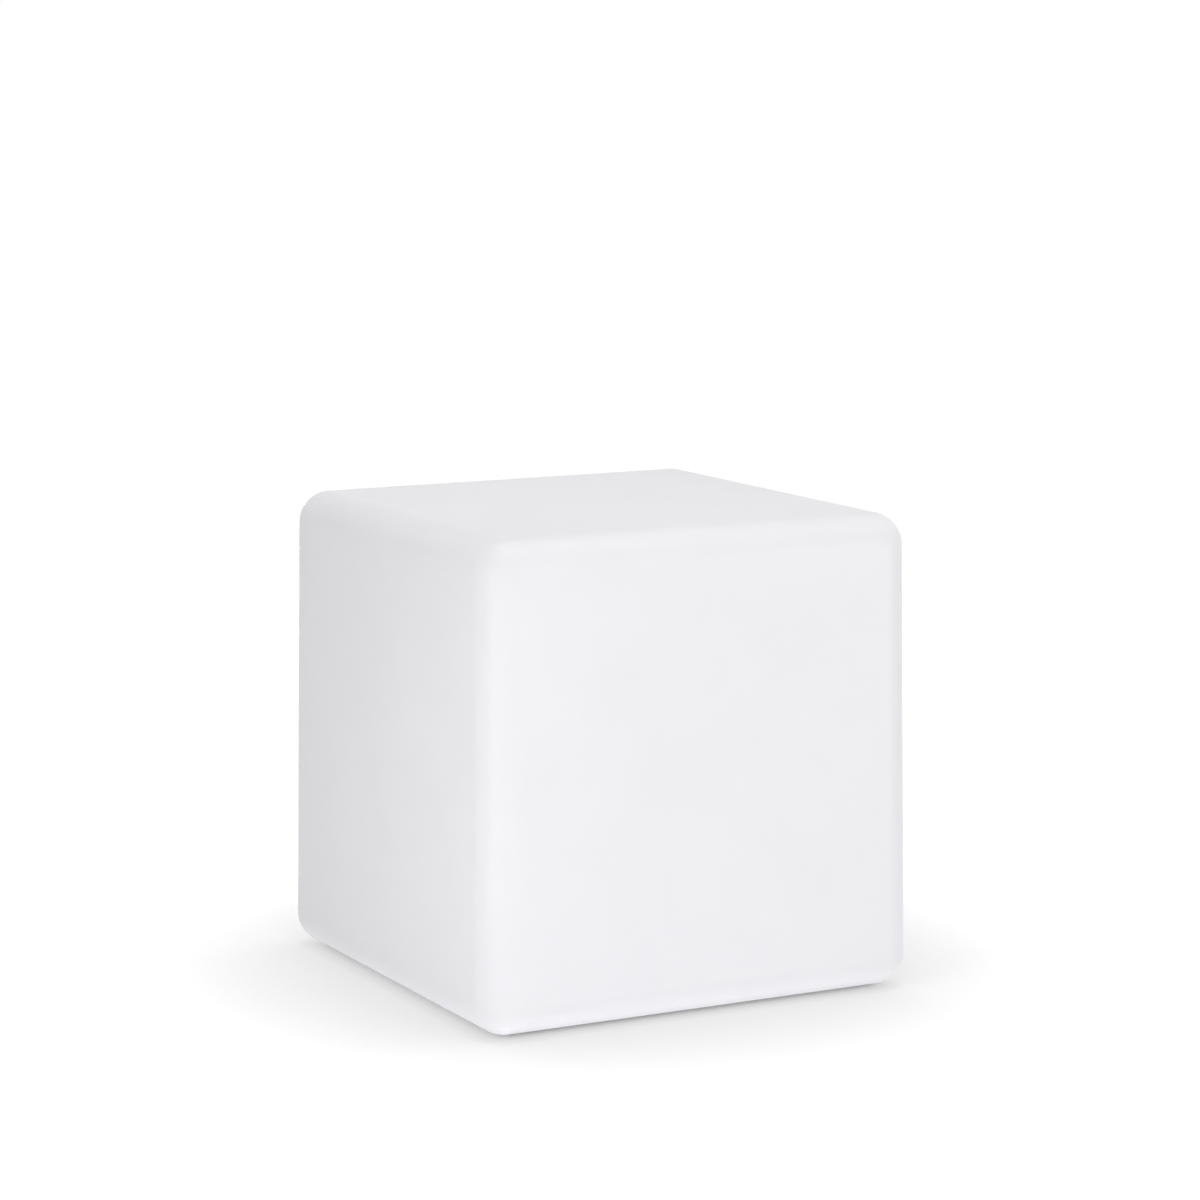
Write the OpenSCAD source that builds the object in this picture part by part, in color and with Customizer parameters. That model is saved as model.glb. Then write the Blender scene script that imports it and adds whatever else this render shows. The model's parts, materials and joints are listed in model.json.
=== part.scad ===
// Cordless garden cube light: a rotationally moulded translucent shell with a
// sealed light unit screwed into its underside. Millimetres, +Z up, the origin
// on the floor under the middle of the cube, the front towards -Y.

/* [Shell] */
// Width of the shell across its base
cube_width = 400; // [340:10:500]
// Height of the shell without its feet
cube_height = 400; // [300:10:500]
// How far each side leans in from base to top, for the mould to release
side_lean = 4; // [0:0.5:8]
// Radius of the outer edges and corners
edge_radius = 27; // [18:1:36]
// Thickness of the moulded wall
wall = 4; // [3:0.5:6]

/* [Feet] */
// Diameter of a rubber foot
foot_d = 24; // [18:1:30]
// How far a foot lifts the shell off the floor
foot_rise = 2; // [1.5:0.5:5]
// Depth of the pocket that holds a foot
foot_pocket = 1.5; // [1:0.25:2.5]
// Distance from the shell's side to the middle of a foot
foot_inset = 56; // [52:1:72]

/* [Light unit housing] */
// Outer diameter of the round cup that holds the electronics
cup_d = 100; // [98:1:106]
// Wall thickness of the cup
cup_wall = 3; // [2.5:0.25:4]
// Diameter of the flange that closes the shell
flange_d = 148; // [146:1:166]
// Thickness of the flange
flange_t = 5; // [4:0.25:7]
// How far the flange sits above the underside of the shell
flange_setback = 1; // [0.5:0.25:3]
// Diameter of the recessed control panel in the flange
dish_d = 84; // [80:1:90]
// Depth of the control panel above the flange face
dish_depth = 2; // [1.75:0.25:4]
// Thickness of the housing floor behind the control panel
floor_t = 3; // [2.75:0.25:5]
// Width of the thick rim round the top of the cup
rim_w = 7.2; // [6.8:0.2:8]
// Thickness of the gasket between flange and shell
gasket_t = 2; // [1:0.25:3]
// Width of the gasket's ring
gasket_w = 15; // [14:0.5:18]

/* [Buttons and charging door] */
// Diameter of the power button
power_d = 18; // [13:0.5:21]
// Diameter of the mode button
mode_d = 13; // [10:0.5:17]
// How far a button travels when pressed
button_travel = 1.2; // [0.8:0.1:1.4]
// How far a button stands out of the control panel
button_proud = 0.6; // [0.3:0.1:1.2]
// Width of the charging door
door_w = 22; // [19:0.5:28]
// Thickness of the charging door
door_t = 1.4; // [1:0.1:1.7]
// Diameter of the charging door's hinge pin
door_pin_d = 1.5; // [1:0.1:1.8]

/* [Battery and boards] */
// Diameter of a battery cell
cell_d = 18.5; // [15:0.5:21.5]
// Length of a battery cell
cell_l = 65; // [55:1:66]
// Length of the control board
board_x = 60; // [54:1:63]
// Width of the control board
board_y = 50; // [46:1:54]
// Thickness of both circuit boards
board_t = 1.6; // [1:0.2:2]
// Diameter of the round light board
led_board_d = 72; // [67:1:73]
// Thickness of the aluminium plate under the light board
plate_t = 2; // [1.5:0.25:4]
// Number of light chips in the outer ring
led_count = 12; // [6:1:18]
// Height of the domed cover over the light chips
dome_h = 22; // [17:1:34]
// Thickness of the domed cover
dome_t = 2.2; // [1.6:0.2:3]

/* [Hidden] */
$fn = 48;
hull_fn = 32;
// Overlap that keeps cuts and unions clean
eps = 0.01;
// How far a cut runs past the face that it opens
past = 1;

// Clearances
press_gap = 0.03;
run_gap = 0.05;
slide_gap = 0.15;
loose_gap = 0.3;
recess_gap = 1;
bore_room = 0.6;

// Places of the feet and heights of the shell
foot_at = cube_width / 2 - foot_inset;
shell_z = foot_rise;
shell_top = shell_z + cube_height;

// Heights of the light unit, from the floor upwards
flange_z = shell_z + flange_setback;
flange_top = flange_z + flange_t;
recess_top = flange_top + gasket_t;
dish_z = flange_z + dish_depth;
floor_top = dish_z + floor_t;
sleeve_h = 2.4;
sleeve_top = floor_top + sleeve_h;
lip_t = 1.2;
button_top = sleeve_top + lip_t;
plunger_show = 1.7;
switch_z = button_top + plunger_show;
switch_h = 3.7;
board_z = switch_z + switch_h;
board_top = board_z + board_t;
part_room = 5.4;
holder_z = board_top + part_room;
holder_floor_t = 2;
holder_top = holder_z + holder_floor_t;
cell_z = holder_top + slide_gap + cell_d / 2;
cell_top = cell_z + cell_d / 2;
clamp_t = 1.6;
clamp_top = cell_top + slide_gap + clamp_t;
lead_room = 8;
plate_z = clamp_top + lead_room;
plate_top = plate_z + plate_t;
led_board_top = plate_top + board_t;
rim_below_plate = 2;
rim_above_plate = 4;
rim_top = plate_top + rim_above_plate;
cover_flange_t = 3;
cover_top = rim_top + cover_flange_t;

// Radii of the housing, from the middle outwards
cup_r = cup_d / 2;
cup_in = cup_r - cup_wall;
ledge_w = 1.8;
seat_r = cup_in + ledge_w;
rim_r = seat_r + rim_w;
opening_r = rim_r + recess_gap;
flange_r = flange_d / 2;
recess_r = flange_r + recess_gap;
gasket_r = flange_r - recess_gap;
dish_r = dish_d / 2;
screw_ring_r = (opening_r + flange_r) / 2;
flange_chamfer = 0.8;

// Seal in the rim under the light cover
seal_w = 1.6;
seal_h = 1.2;
seal_inset = 1.8;
seal_r = seat_r + seal_inset;

// Large screws, which hold the housing in brass inserts in the shell
big_screw_r = 2;
big_head_r = 3.6;
big_head_h = 2.2;
big_screw_l = 12;
big_count = 6;
counterbore = 2.6;
insert_r = 3.3;
insert_l = 8;
insert_waist = 0.5;
insert_waist_l = 1.6;
boss_wall = 3;

// Sole of a foot: a dished middle, a flat ring and a rounded outer edge
sole_dish = 0.6;
sole_slope = 1;
sole_w = 5;
sole_edge = 1.2;
sole_edge_mid = 0.4;

// Small screws, which hold the boards, the battery clamp and the cover
small_screw_r = 1.25;
small_head_r = 2.3;
small_head_h = 1.6;
small_screw_l = 6;
led_screw_l = 4;
cover_count = 6;
cover_screw_r = rim_r - small_head_r - loose_gap;

// Cross recess in a screw's head, its length a share of the head's radius
drive_w = 0.8;
drive_depth = 1;
drive_share = 1.3;

// Post screws, which hold the battery holder and the light plate
post_screw_r = 1.5;
post_head_r = 2.8;
post_head_h = 1.8;
post_screw_l = 7;

// Places on the control panel
power_at = [-17, 9];
mode_at = [14, 10];
port_at = [0, -13.5];
lamp_at = [0, 3];
vent_at = [0, 26];

// Buttons
sleeve_wall = 1.8;
lip_w = 1.3;
ring_groove_w = 1.5;
ring_groove_depth = 0.9;
ring_land = 0.2;
ring_groove_top = sleeve_top - button_travel - ring_land;
power_r = power_d / 2;
mode_r = mode_d / 2;
button_chamfer = 0.5;
mark_depth = 0.3;
mark_r = 3;
mark_w = 0.7;
mark_bar_from = 1;
mark_bar_l = 2.4;
dot_pitch = 2.4;

// Push switches under the control board
switch_w = 8;
plunger_r = 1.7;
plunger_inside = 1.2;
plunger_room = plunger_inside + button_travel + loose_gap;

// Charging socket, and the pocket that a plug enters
socket_l = 8.94;
socket_w = 3.26;
socket_wall = 0.35;
socket_h = 8;
socket_z = board_z - socket_h;
socket_depth = 6.5;
tongue_l = 6.7;
tongue_t = 0.7;
tongue_h = 5.2;
pocket_l = 15;
pocket_w = 8;
port_wall = 2;
port_ceiling = 1.5;

// Charging door, its hinge along X and its seal
door_sink = 0.1;
door_recess = door_t + door_sink;
hinge_r = 1.5;
hinge_up = 0.2;
hinge_z = dish_z + hinge_up;
hinge_back = 10.5;
hinge_y = port_at[1] - hinge_back;
neck = 2.4;
door_reach = 18.5;
lug_w = 3;
lug_root = 1;
barrel_w = door_w - 2 * lug_w - 2 * loose_gap;
door_seal_h = 1.6;
door_seal_wall = 1.2;
door_seal_gap = 0.6;
nail_r = 4;
nail_drop = 0.5;
nail_depth = door_recess + nail_drop;

// Charge lamp and pressure vent
lamp_r = 2;
lamp_shoulder_r = 2.8;
lamp_shoulder_t = 1.5;
lamp_chip_l = 3;
lamp_chip_w = 2;
lamp_chip_h = 0.8;
vent_r = 4;
vent_head_r = 6.5;
vent_head_t = 1.5;
vent_slot_w = 1.6;
vent_slot_h = 0.7;
vent_bore_r = 2;
vent_nut_r = 6.6;
vent_nut_t = 3;
membrane_r = 3;
membrane_t = 0.5;
vent_end = 1;
vent_top = floor_top + vent_nut_t + vent_end;

// Posts that rise from the housing floor
board_post_r = 2.6;
board_post_inset = 3.5;
board_post_at = [board_x / 2 - board_post_inset, board_y / 2 - board_post_inset];
plate_post_r = 3.4;
post_to_cup = 1.1;
plate_post_ring = cup_in - plate_post_r - post_to_cup;
plate_post_angles = [60, 120, 240, 300];

// Control chips, coil and capacitors: where each stands on its board and its size
big_chip_at = [-5, -1];
big_chip_w = 7;
big_chip_h = 1.2;
small_chip_at = [-4, -15];
small_chip_w = 5;
small_chip_h = 1;
coil_at = [9, -15];
coil_base_w = 9;
coil_base_h = 1;
coil_r = 4.2;
coil_h = 4;
capacitor_x = 8;
capacitor_y = [6, 13];
capacitor_r = 2.5;
capacitor_h = 5;

// Battery cells
cell_gap = 0.5;
cell_pitch = cell_d + cell_gap;
cell_room_r = cell_d / 2 + slide_gap;
cell_groove = 0.6;
cell_groove_at = 3.4;

// Nickel strips across the cell ends
link_t = 0.3;
link_w = 7;
link_tab_w = 3;
link_tab_overlap = 3;

// Battery holder and clamp
end_wall = 2;
end_wall_rise = 5;
end_wall_side = 6;
holder_wall = 2;
cradle_drop = 0.5;
cradle_h = cell_d / 2 - cradle_drop;
trough_drop = 4;
holder_end = cell_l / 2 + link_t + slide_gap + end_wall;
holder_side = cell_pitch / 2 + cell_room_r + holder_wall;
holder_post_r = 3;
ear_r = 3.4;
holder_post_gap = 0.5;
holder_post_x = max(holder_end + post_head_r, board_x / 2 + holder_post_r) + holder_post_gap;
holder_post_y = 12;
clamp_w = 14;
clamp_side = cell_pitch / 2 + cell_room_r;
clamp_ear_l = 7;
clamp_ear_t = 2;
clamp_screw_out = 3.2;
clamp_screw_y = clamp_side + clamp_t + clamp_screw_out;
clamp_boss_h = 3;
clamp_boss_wall = 1.6;

// Protection board that lies in the valley between the cells
guard_short = 19;
guard_l = cell_l - guard_short;
guard_w = 7;
guard_t = 1;
guard_drop = sqrt(pow(cell_d / 2, 2) - pow((cell_pitch - guard_w) / 2, 2));
guard_z = cell_z + guard_drop + run_gap;
guard_top = guard_z + guard_t;

// Light board
ring_chip_r = 21.5;
inner_chip_r = 9.5;
inner_count = 4;
chip_w = 5;
chip_h = 1.6;
led_board_r = led_board_d / 2;
led_screw_inset = 4.5;
led_screw_ring = led_board_r - led_screw_inset;
led_screw_angles = [90, 210, 330];

// Remote receiver, with a round eye towards the middle
receiver_at = [-29, 6];
receiver_l = 4;
receiver_w = 6;
receiver_h = 6;
eye_z = 3.4;
eye_r = 1.8;
eye_l = 3.2;

// Leads and their plugs, which leave the boards sideways
header_l = 12;
header_w = 5.5;
header_h = 4.6;
plug_l = 5;
plug_w = 10;
plug_h = 3.6;
plug_up = header_h / 2;
board_header_inset = 5;
board_header_x = board_x / 2 - board_header_inset;
led_header_inset = 6;
led_header_x = led_board_r - led_header_inset;
ribbon_w = 5.6;
ribbon_t = 1.4;
bend_r = 3;
bend_steps = 6;
wire_r = 0.8;
wire_y = 2.6;
wire_hold = 6;
wire_sides = 8;

// Rubber grommet where the ribbon passes the light plate
grommet_x = (led_board_r + cup_in) / 2;
grommet_neck_r = 3.8;
grommet_lip_r = 4.6;
grommet_lip_t = 0.8;
grommet_gap = 0.2;

// How far the dome's foot stands inside the plate's seat
dome_inset = 2;

// Copies at equal angles round the middle
module ring_of(count, radius, start = 0)
    for (i = [0:count - 1])
        rotate([0, 0, start + 360 * i / count]) translate([radius, 0, 0]) children();

// Copies at stated angles round the middle
module at_angles(angles, radius)
    for (a = angles) rotate([0, 0, a]) translate([radius, 0, 0]) children();

// Copies at the four corners of a rectangle
module at_corners(half)
    for (x = [-half[0], half[0]], y = [-half[1], half[1]]) translate([x, y, 0]) children();

// A disc or tube between two heights
module disc(r, z0, z1)
    translate([0, 0, z0]) cylinder(r = r, h = z1 - z0);

module tube(r_in, r_out, z0, z1)
    difference() {
        disc(r_out, z0, z1);
        disc(r_in, z0 - past, z1 + past);
    }

// A block centred on X and Y between two heights
module block(l, w, z0, z1)
    translate([-l / 2, -w / 2, z0]) cube([l, w, z1 - z0]);

// A slot shape with round ends along X
module stadium(l, w) {
    square([l - w, w], center = true);
    for (s = [-1, 1]) translate([s * (l - w) / 2, 0]) circle(d = w);
}

// A ball whose facets reach its full radius along each axis
module corner_ball(r)
    sphere(r / cos(180 / hull_fn), $fn = hull_fn);

// The cube with rounded edges and leaning sides, a given distance inside the skin
module rounded_cube(inset) {
    r = edge_radius - inset;
    base = cube_width / 2 - inset - r;
    crown = base - side_lean;
    hull()
        for (x = [-1, 1], y = [-1, 1]) {
            translate([x * base, y * base, shell_z + inset + r]) corner_ball(r);
            translate([x * crown, y * crown, shell_top - inset - r]) corner_ball(r);
        }
}

// A screw with its head below z = 0 and its shank up to z = l
module screw(r, l, head_r, head_h)
    difference() {
        union() {
            translate([0, 0, -head_h]) cylinder(r = head_r, h = head_h);
            translate([0, 0, -eps]) cylinder(r = r, h = l + eps);
        }
        for (a = [0, 90])
            rotate([0, 0, a])
                block(head_r * drive_share, drive_w, -head_h - eps, drive_depth - head_h);
    }

// The same screw driven downwards, its head above z = 0
module screw_down(r, l, head_r, head_h)
    mirror([0, 0, 1]) screw(r, l, head_r, head_h);

// A bore for a screw that enters at the top of a post
module screw_bore(r, z_top, depth)
    disc(r + press_gap, z_top - depth - bore_room, z_top + eps);

module diffuser_shell()
    color("white")
    difference() {
        union() {
            difference() {
                rounded_cube(0);
                rounded_cube(wall);
            }
            disc(recess_r + wall, shell_z + wall / 2, recess_top + wall);
            ring_of(big_count, screw_ring_r)
                disc(insert_r + boss_wall, recess_top + wall / 2,
                     recess_top + insert_l + bore_room + boss_wall);
        }
        disc(recess_r, shell_z - past, recess_top);
        disc(opening_r, shell_z - past, recess_top + wall + past);
        ring_of(big_count, screw_ring_r)
            disc(insert_r + press_gap, recess_top - eps, recess_top + insert_l + bore_room);
        at_corners([foot_at, foot_at])
            disc(foot_d / 2 + slide_gap, shell_z - past, shell_z + foot_pocket);
    }

// A rubber foot with a rounded sole edge and a dished sole
module foot(x, y) {
    r = foot_d / 2;
    h = foot_rise + foot_pocket;
    color("dimgray")
    translate([x * foot_at, y * foot_at, 0])
    rotate_extrude()
    polygon([
        [0, sole_dish], [r - sole_w - sole_slope, sole_dish], [r - sole_w, 0],
        [r - sole_edge, 0], [r - sole_edge_mid, sole_edge_mid], [r, sole_edge],
        [r, h], [0, h],
    ]);
}

module shell_inserts() {
    waist_z = recess_top + (insert_l - insert_waist_l) / 2;
    color("goldenrod")
    ring_of(big_count, screw_ring_r)
    difference() {
        disc(insert_r, recess_top, recess_top + insert_l);
        disc(big_screw_r + press_gap, recess_top - past, recess_top + insert_l + past);
        tube(insert_r - insert_waist, insert_r + past, waist_z, waist_z + insert_waist_l);
    }
}

module housing_gasket()
    color("dimgray")
    difference() {
        tube(gasket_r - gasket_w, gasket_r, flange_top, recess_top);
        ring_of(big_count, screw_ring_r)
            disc(big_screw_r + loose_gap, flange_top - past, recess_top + past);
    }

// The turned outline of the housing: flange, cup and rim
module housing_body()
    rotate_extrude($fn = 96)
    polygon([
        [0, dish_z], [dish_r, dish_z], [dish_r, flange_z + flange_chamfer / 2],
        [dish_r + flange_chamfer / 2, flange_z], [flange_r - flange_chamfer, flange_z],
        [flange_r, flange_z + flange_chamfer], [flange_r, flange_top], [cup_r, flange_top],
        [cup_r, plate_z - rim_below_plate - (rim_r - cup_r)], [rim_r, plate_z - rim_below_plate],
        [rim_r, rim_top], [seal_r + seal_w / 2, rim_top],
        [seal_r + seal_w / 2, rim_top - seal_h], [seal_r - seal_w / 2, rim_top - seal_h],
        [seal_r - seal_w / 2, rim_top], [seat_r, rim_top], [seat_r, plate_z],
        [cup_in, plate_z], [cup_in, floor_top], [0, floor_top],
    ]);

// Everything that rises from the housing floor
module housing_posts() {
    translate(power_at) disc(power_r + slide_gap + sleeve_wall, floor_top - eps, sleeve_top);
    translate(mode_at) disc(mode_r + slide_gap + sleeve_wall, floor_top - eps, sleeve_top);
    translate(port_at)
        block(pocket_l + 2 * port_wall, pocket_w + 2 * port_wall,
              floor_top - eps, socket_z + port_ceiling);
    at_corners(board_post_at) disc(board_post_r, floor_top - eps, board_z);
    at_corners([holder_post_x, holder_post_y]) disc(holder_post_r, floor_top - eps, holder_z);
    at_angles(plate_post_angles, plate_post_ring) disc(plate_post_r, floor_top - eps, plate_z);
}

// A rod along X, centred, for the door's hinge
module hinge_rod(r, l)
    translate([-l / 2, hinge_y, hinge_z]) rotate([0, 90, 0]) cylinder(r = r, h = l);

// The recess that the door closes into, with room for its barrel and neck
module door_room() {
    w = door_w + 2 * loose_gap;
    barrel_room = barrel_w + 2 * loose_gap;
    plate_start = hinge_y + neck - loose_gap;
    far_edge = hinge_y + door_reach + loose_gap;
    translate([-w / 2, plate_start, dish_z - past])
        cube([w, far_edge - plate_start, past + door_recess]);
    translate([-barrel_room / 2, hinge_y, dish_z - past])
        cube([barrel_room, neck, past + door_recess]);
    hinge_rod(hinge_r + loose_gap, barrel_room);
    translate([0, far_edge, 0]) disc(nail_r, dish_z - past, dish_z + nail_depth);
}

module hinge_lugs()
    for (s = [-1, 1])
        translate([s * (door_w - lug_w) / 2, 0, 0]) {
            hinge_rod(hinge_r, lug_w);
            translate([0, hinge_y, 0]) block(lug_w, 2 * hinge_r, hinge_z, floor_top - lug_root);
        }

module base_housing()
    color("whitesmoke")
    difference() {
        union() {
            difference() {
                housing_body();
                door_room();
            }
            hinge_lugs();
            housing_posts();
        }
        translate(power_at) disc(power_r + slide_gap, dish_z - past, sleeve_top + past);
        translate(mode_at) disc(mode_r + slide_gap, dish_z - past, sleeve_top + past);
        translate(port_at) {
            block(pocket_l, pocket_w, dish_z - past, socket_z);
            translate([0, 0, socket_z - eps])
                linear_extrude(port_ceiling + past)
                stadium(socket_l + 2 * loose_gap, socket_w + 2 * loose_gap);
        }
        hinge_rod(door_pin_d / 2 + press_gap, door_w + 2 * past);
        translate(lamp_at) disc(lamp_r + run_gap, dish_z - past, floor_top + past);
        translate(vent_at) disc(vent_r + run_gap, dish_z - past, floor_top + past);
        ring_of(big_count, screw_ring_r) {
            disc(big_head_r + loose_gap, flange_z - past, flange_z + counterbore);
            disc(big_screw_r + slide_gap, flange_z, flange_top + past);
        }
        at_corners(board_post_at) screw_bore(small_screw_r, board_z, small_screw_l - board_t);
        at_corners([holder_post_x, holder_post_y])
            screw_bore(post_screw_r, holder_z, post_screw_l - holder_floor_t);
        at_angles(plate_post_angles, plate_post_ring)
            screw_bore(post_screw_r, plate_z, post_screw_l - plate_t);
        ring_of(cover_count, cover_screw_r, 30)
            screw_bore(small_screw_r, rim_top, small_screw_l - cover_flange_t);
    }

module housing_screws()
    color("silver")
    ring_of(big_count, screw_ring_r)
    translate([0, 0, flange_z + counterbore])
    screw(big_screw_r, big_screw_l, big_head_r, big_head_h);

// A push button with a seal groove and a lip that keeps it in its sleeve
module button_body(r) {
    low = dish_z - button_proud;
    groove_r = r - ring_groove_depth;
    rotate_extrude()
    polygon([
        [0, low], [r - button_chamfer, low], [r, low + button_chamfer],
        [r, ring_groove_top - ring_groove_w], [groove_r, ring_groove_top - ring_groove_w],
        [groove_r, ring_groove_top], [r, ring_groove_top], [r, sleeve_top],
        [r + lip_w, sleeve_top], [r + lip_w, button_top], [0, button_top],
    ]);
}

module button_ring(r)
    tube(r - ring_groove_depth, r + slide_gap - run_gap,
         ring_groove_top - ring_groove_w, ring_groove_top);

// A broken circle with a bar, sunk into the power button's face
module power_mark() {
    low = dish_z - button_proud;
    difference() {
        tube(mark_r - mark_w, mark_r, low - past, low + mark_depth);
        translate([-mark_w, 0, low - 2 * past]) cube([2 * mark_w, mark_r + past, 3 * past]);
    }
    translate([-mark_w / 2, mark_bar_from, low - past])
        cube([mark_w, mark_bar_l, past + mark_depth]);
}

module power_button()
    color("gainsboro")
    translate(power_at)
    difference() {
        button_body(power_r);
        power_mark();
    }

module power_button_seal()
    color("dimgray") translate(power_at) button_ring(power_r);

module mode_button()
    color("gainsboro")
    translate(mode_at)
    difference() {
        button_body(mode_r);
        for (i = [-1:1])
            translate([i * dot_pitch, 0, 0])
                disc(mark_w, dish_z - button_proud - past, dish_z - button_proud + mark_depth);
    }

module mode_button_seal()
    color("dimgray") translate(mode_at) button_ring(mode_r);

module charging_door()
    color("whitesmoke")
    difference() {
        union() {
            hinge_rod(hinge_r, barrel_w);
            translate([-barrel_w / 2, hinge_y, dish_z + door_recess - door_t])
                cube([barrel_w, neck + eps, door_t]);
            translate([-door_w / 2, hinge_y + neck, dish_z + door_recess - door_t])
                cube([door_w, door_reach - neck, door_t]);
        }
        hinge_rod(door_pin_d / 2 + run_gap, door_w);
    }

// A silicone ring on the door's inner face, which plugs the charging pocket
module charging_door_seal() {
    l = pocket_l - 2 * door_seal_gap;
    w = pocket_w - 2 * door_seal_gap;
    z = dish_z + door_recess;
    color("dimgray")
    translate(port_at)
    difference() {
        block(l, w, z, z + door_seal_h);
        block(l - 2 * door_seal_wall, w - 2 * door_seal_wall, z - past, z + door_seal_h + past);
    }
}

module charging_door_pin()
    color("silver") hinge_rod(door_pin_d / 2, door_w);

module charge_lamp_lens()
    color("lightcyan")
    translate(lamp_at) {
        disc(lamp_r, dish_z, board_z - lamp_chip_h - loose_gap);
        disc(lamp_shoulder_r, floor_top, floor_top + lamp_shoulder_t);
    }

module charge_lamp_chip()
    color("lightgreen")
    translate(lamp_at) block(lamp_chip_l, lamp_chip_w, board_z - lamp_chip_h, board_z);

module pressure_vent()
    color("darkgray")
    translate(vent_at)
    difference() {
        union() {
            disc(vent_head_r, dish_z - vent_head_t, dish_z);
            disc(vent_r, dish_z - eps, vent_top);
        }
        disc(vent_bore_r, dish_z - vent_slot_h, vent_top + past);
        disc(membrane_r, vent_top - membrane_t, vent_top + past);
        for (a = [0, 90])
            rotate([0, 0, a])
                block(2 * (vent_head_r + past), vent_slot_w, dish_z - vent_slot_h, dish_z + eps);
    }

module vent_membrane()
    color("white") translate(vent_at) disc(membrane_r - press_gap, vent_top - membrane_t, vent_top);

module pressure_vent_nut()
    color("darkgray")
    translate(vent_at)
    difference() {
        translate([0, 0, floor_top]) cylinder(r = vent_nut_r, h = vent_nut_t, $fn = 6);
        disc(vent_r + press_gap, floor_top - past, floor_top + vent_nut_t + past);
    }

module control_board()
    color("seagreen")
    difference() {
        block(board_x, board_y, board_z, board_top);
        at_corners(board_post_at) disc(small_screw_r + slide_gap, board_z - past, board_top + past);
    }

module control_board_screws()
    color("silver")
    at_corners(board_post_at)
    translate([0, 0, board_top])
    screw_down(small_screw_r, small_screw_l, small_head_r, small_head_h);

module push_switch()
    difference() {
        block(switch_w, switch_w, switch_z, board_z);
        disc(plunger_r + slide_gap, switch_z - past, switch_z + plunger_room);
    }

module plunger()
    disc(plunger_r, button_top, switch_z + plunger_inside);

module power_switch() color("black") translate(power_at) push_switch();
module power_switch_plunger() color("tomato") translate(power_at) plunger();
module mode_switch() color("black") translate(mode_at) push_switch();
module mode_switch_plunger() color("tomato") translate(mode_at) plunger();

module charging_socket()
    color("silver")
    translate([port_at[0], port_at[1], socket_z])
    difference() {
        linear_extrude(socket_h) stadium(socket_l, socket_w);
        translate([0, 0, -past])
            linear_extrude(past + socket_depth)
            stadium(socket_l - 2 * socket_wall, socket_w - 2 * socket_wall);
    }

module charging_socket_tongue()
    color("black")
    translate(port_at)
    block(tongue_l, tongue_t, socket_z + socket_depth - tongue_h, socket_z + socket_depth);

module control_chips()
    color("black") {
        translate(big_chip_at) block(big_chip_w, big_chip_w, board_top, board_top + big_chip_h);
        translate(small_chip_at)
            block(small_chip_w, small_chip_w, board_top, board_top + small_chip_h);
    }

module power_coil()
    color("dimgray")
    translate(coil_at) {
        block(coil_base_w, coil_base_w, board_top, board_top + coil_base_h);
        disc(coil_r, board_top, board_top + coil_h);
    }

module capacitors()
    color("midnightblue")
    for (y = capacitor_y)
        translate([capacitor_x, y, 0]) disc(capacitor_r, board_top, board_top + capacitor_h);

module board_header() block(header_w, header_l, 0, header_h);

module board_headers()
    color("ivory")
    for (s = [-1, 1]) translate([s * board_header_x, 0, board_top]) board_header();

module battery_holder()
    color("dimgray")
    difference() {
        union() {
            block(2 * holder_end, 2 * holder_side, holder_z, holder_top + cradle_h);
            for (s = [-1, 1])
                translate([s * (holder_end - end_wall / 2), 0, 0])
                    block(end_wall, cell_pitch + 2 * end_wall_side, holder_z,
                          cell_z + end_wall_rise);
            for (y = [-1, 1])
                translate([0, y * holder_post_y, 0])
                    block(2 * holder_post_x, 2 * ear_r, holder_z, holder_top);
            at_corners([holder_post_x, holder_post_y]) disc(ear_r, holder_z, holder_top);
            block(clamp_w, 2 * (clamp_side + clamp_t + clamp_ear_l), holder_z, holder_top);
            for (y = [-1, 1])
                translate([0, y * clamp_screw_y, 0])
                    disc(small_screw_r + clamp_boss_wall, holder_z - clamp_boss_h, holder_top);
        }
        for (y = [-1, 1])
            translate([-holder_end + end_wall, y * cell_pitch / 2, cell_z])
                rotate([0, 90, 0]) cylinder(r = cell_room_r, h = 2 * (holder_end - end_wall));
        block(2 * (holder_end - end_wall), cell_pitch, cell_z - trough_drop, cell_z + cell_d);
        block(clamp_w + 2 * loose_gap, 2 * holder_side + past, holder_top, cell_z + cell_d);
        at_corners([holder_post_x, holder_post_y])
            disc(post_screw_r + slide_gap, holder_z - past, holder_top + past);
        for (y = [-1, 1])
            translate([0, y * clamp_screw_y, 0])
                screw_bore(small_screw_r, holder_top, small_screw_l - clamp_ear_t);
    }

module battery_holder_screws()
    color("silver")
    at_corners([holder_post_x, holder_post_y])
    translate([0, 0, holder_top])
    screw_down(post_screw_r, post_screw_l, post_head_r, post_head_h);

// A cell along X with the crimped groove near its positive end
module battery_cell(y) {
    r = cell_d / 2;
    groove_z = cell_l - cell_groove_at;
    color("steelblue")
    translate([-cell_l / 2, y * cell_pitch / 2, cell_z])
    rotate([0, 90, 0])
    rotate_extrude()
    polygon([
        [0, 0], [r, 0], [r, groove_z - cell_groove], [r - cell_groove, groove_z],
        [r, groove_z + cell_groove], [r, cell_l - cell_groove], [r - cell_groove, cell_l],
        [0, cell_l],
    ]);
}

module battery_cell_front() battery_cell(-1);
module battery_cell_rear() battery_cell(1);

// Nickel strips across the cell ends, each with a tab onto the protection board
module battery_links()
    color("silver")
    for (s = [-1, 1]) {
        tab_end = guard_l / 2 - link_tab_overlap;
        translate([s * (cell_l + link_t) / 2, 0, 0]) {
            block(link_t, cell_pitch + link_w, cell_z - link_w / 2, cell_z + link_w / 2);
            block(link_t, link_tab_w, cell_z, guard_top + link_t);
        }
        translate([s * (cell_l / 2 + link_t + tab_end) / 2, 0, 0])
            block(cell_l / 2 + link_t - tab_end, link_tab_w, guard_top, guard_top + link_t);
    }

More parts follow.
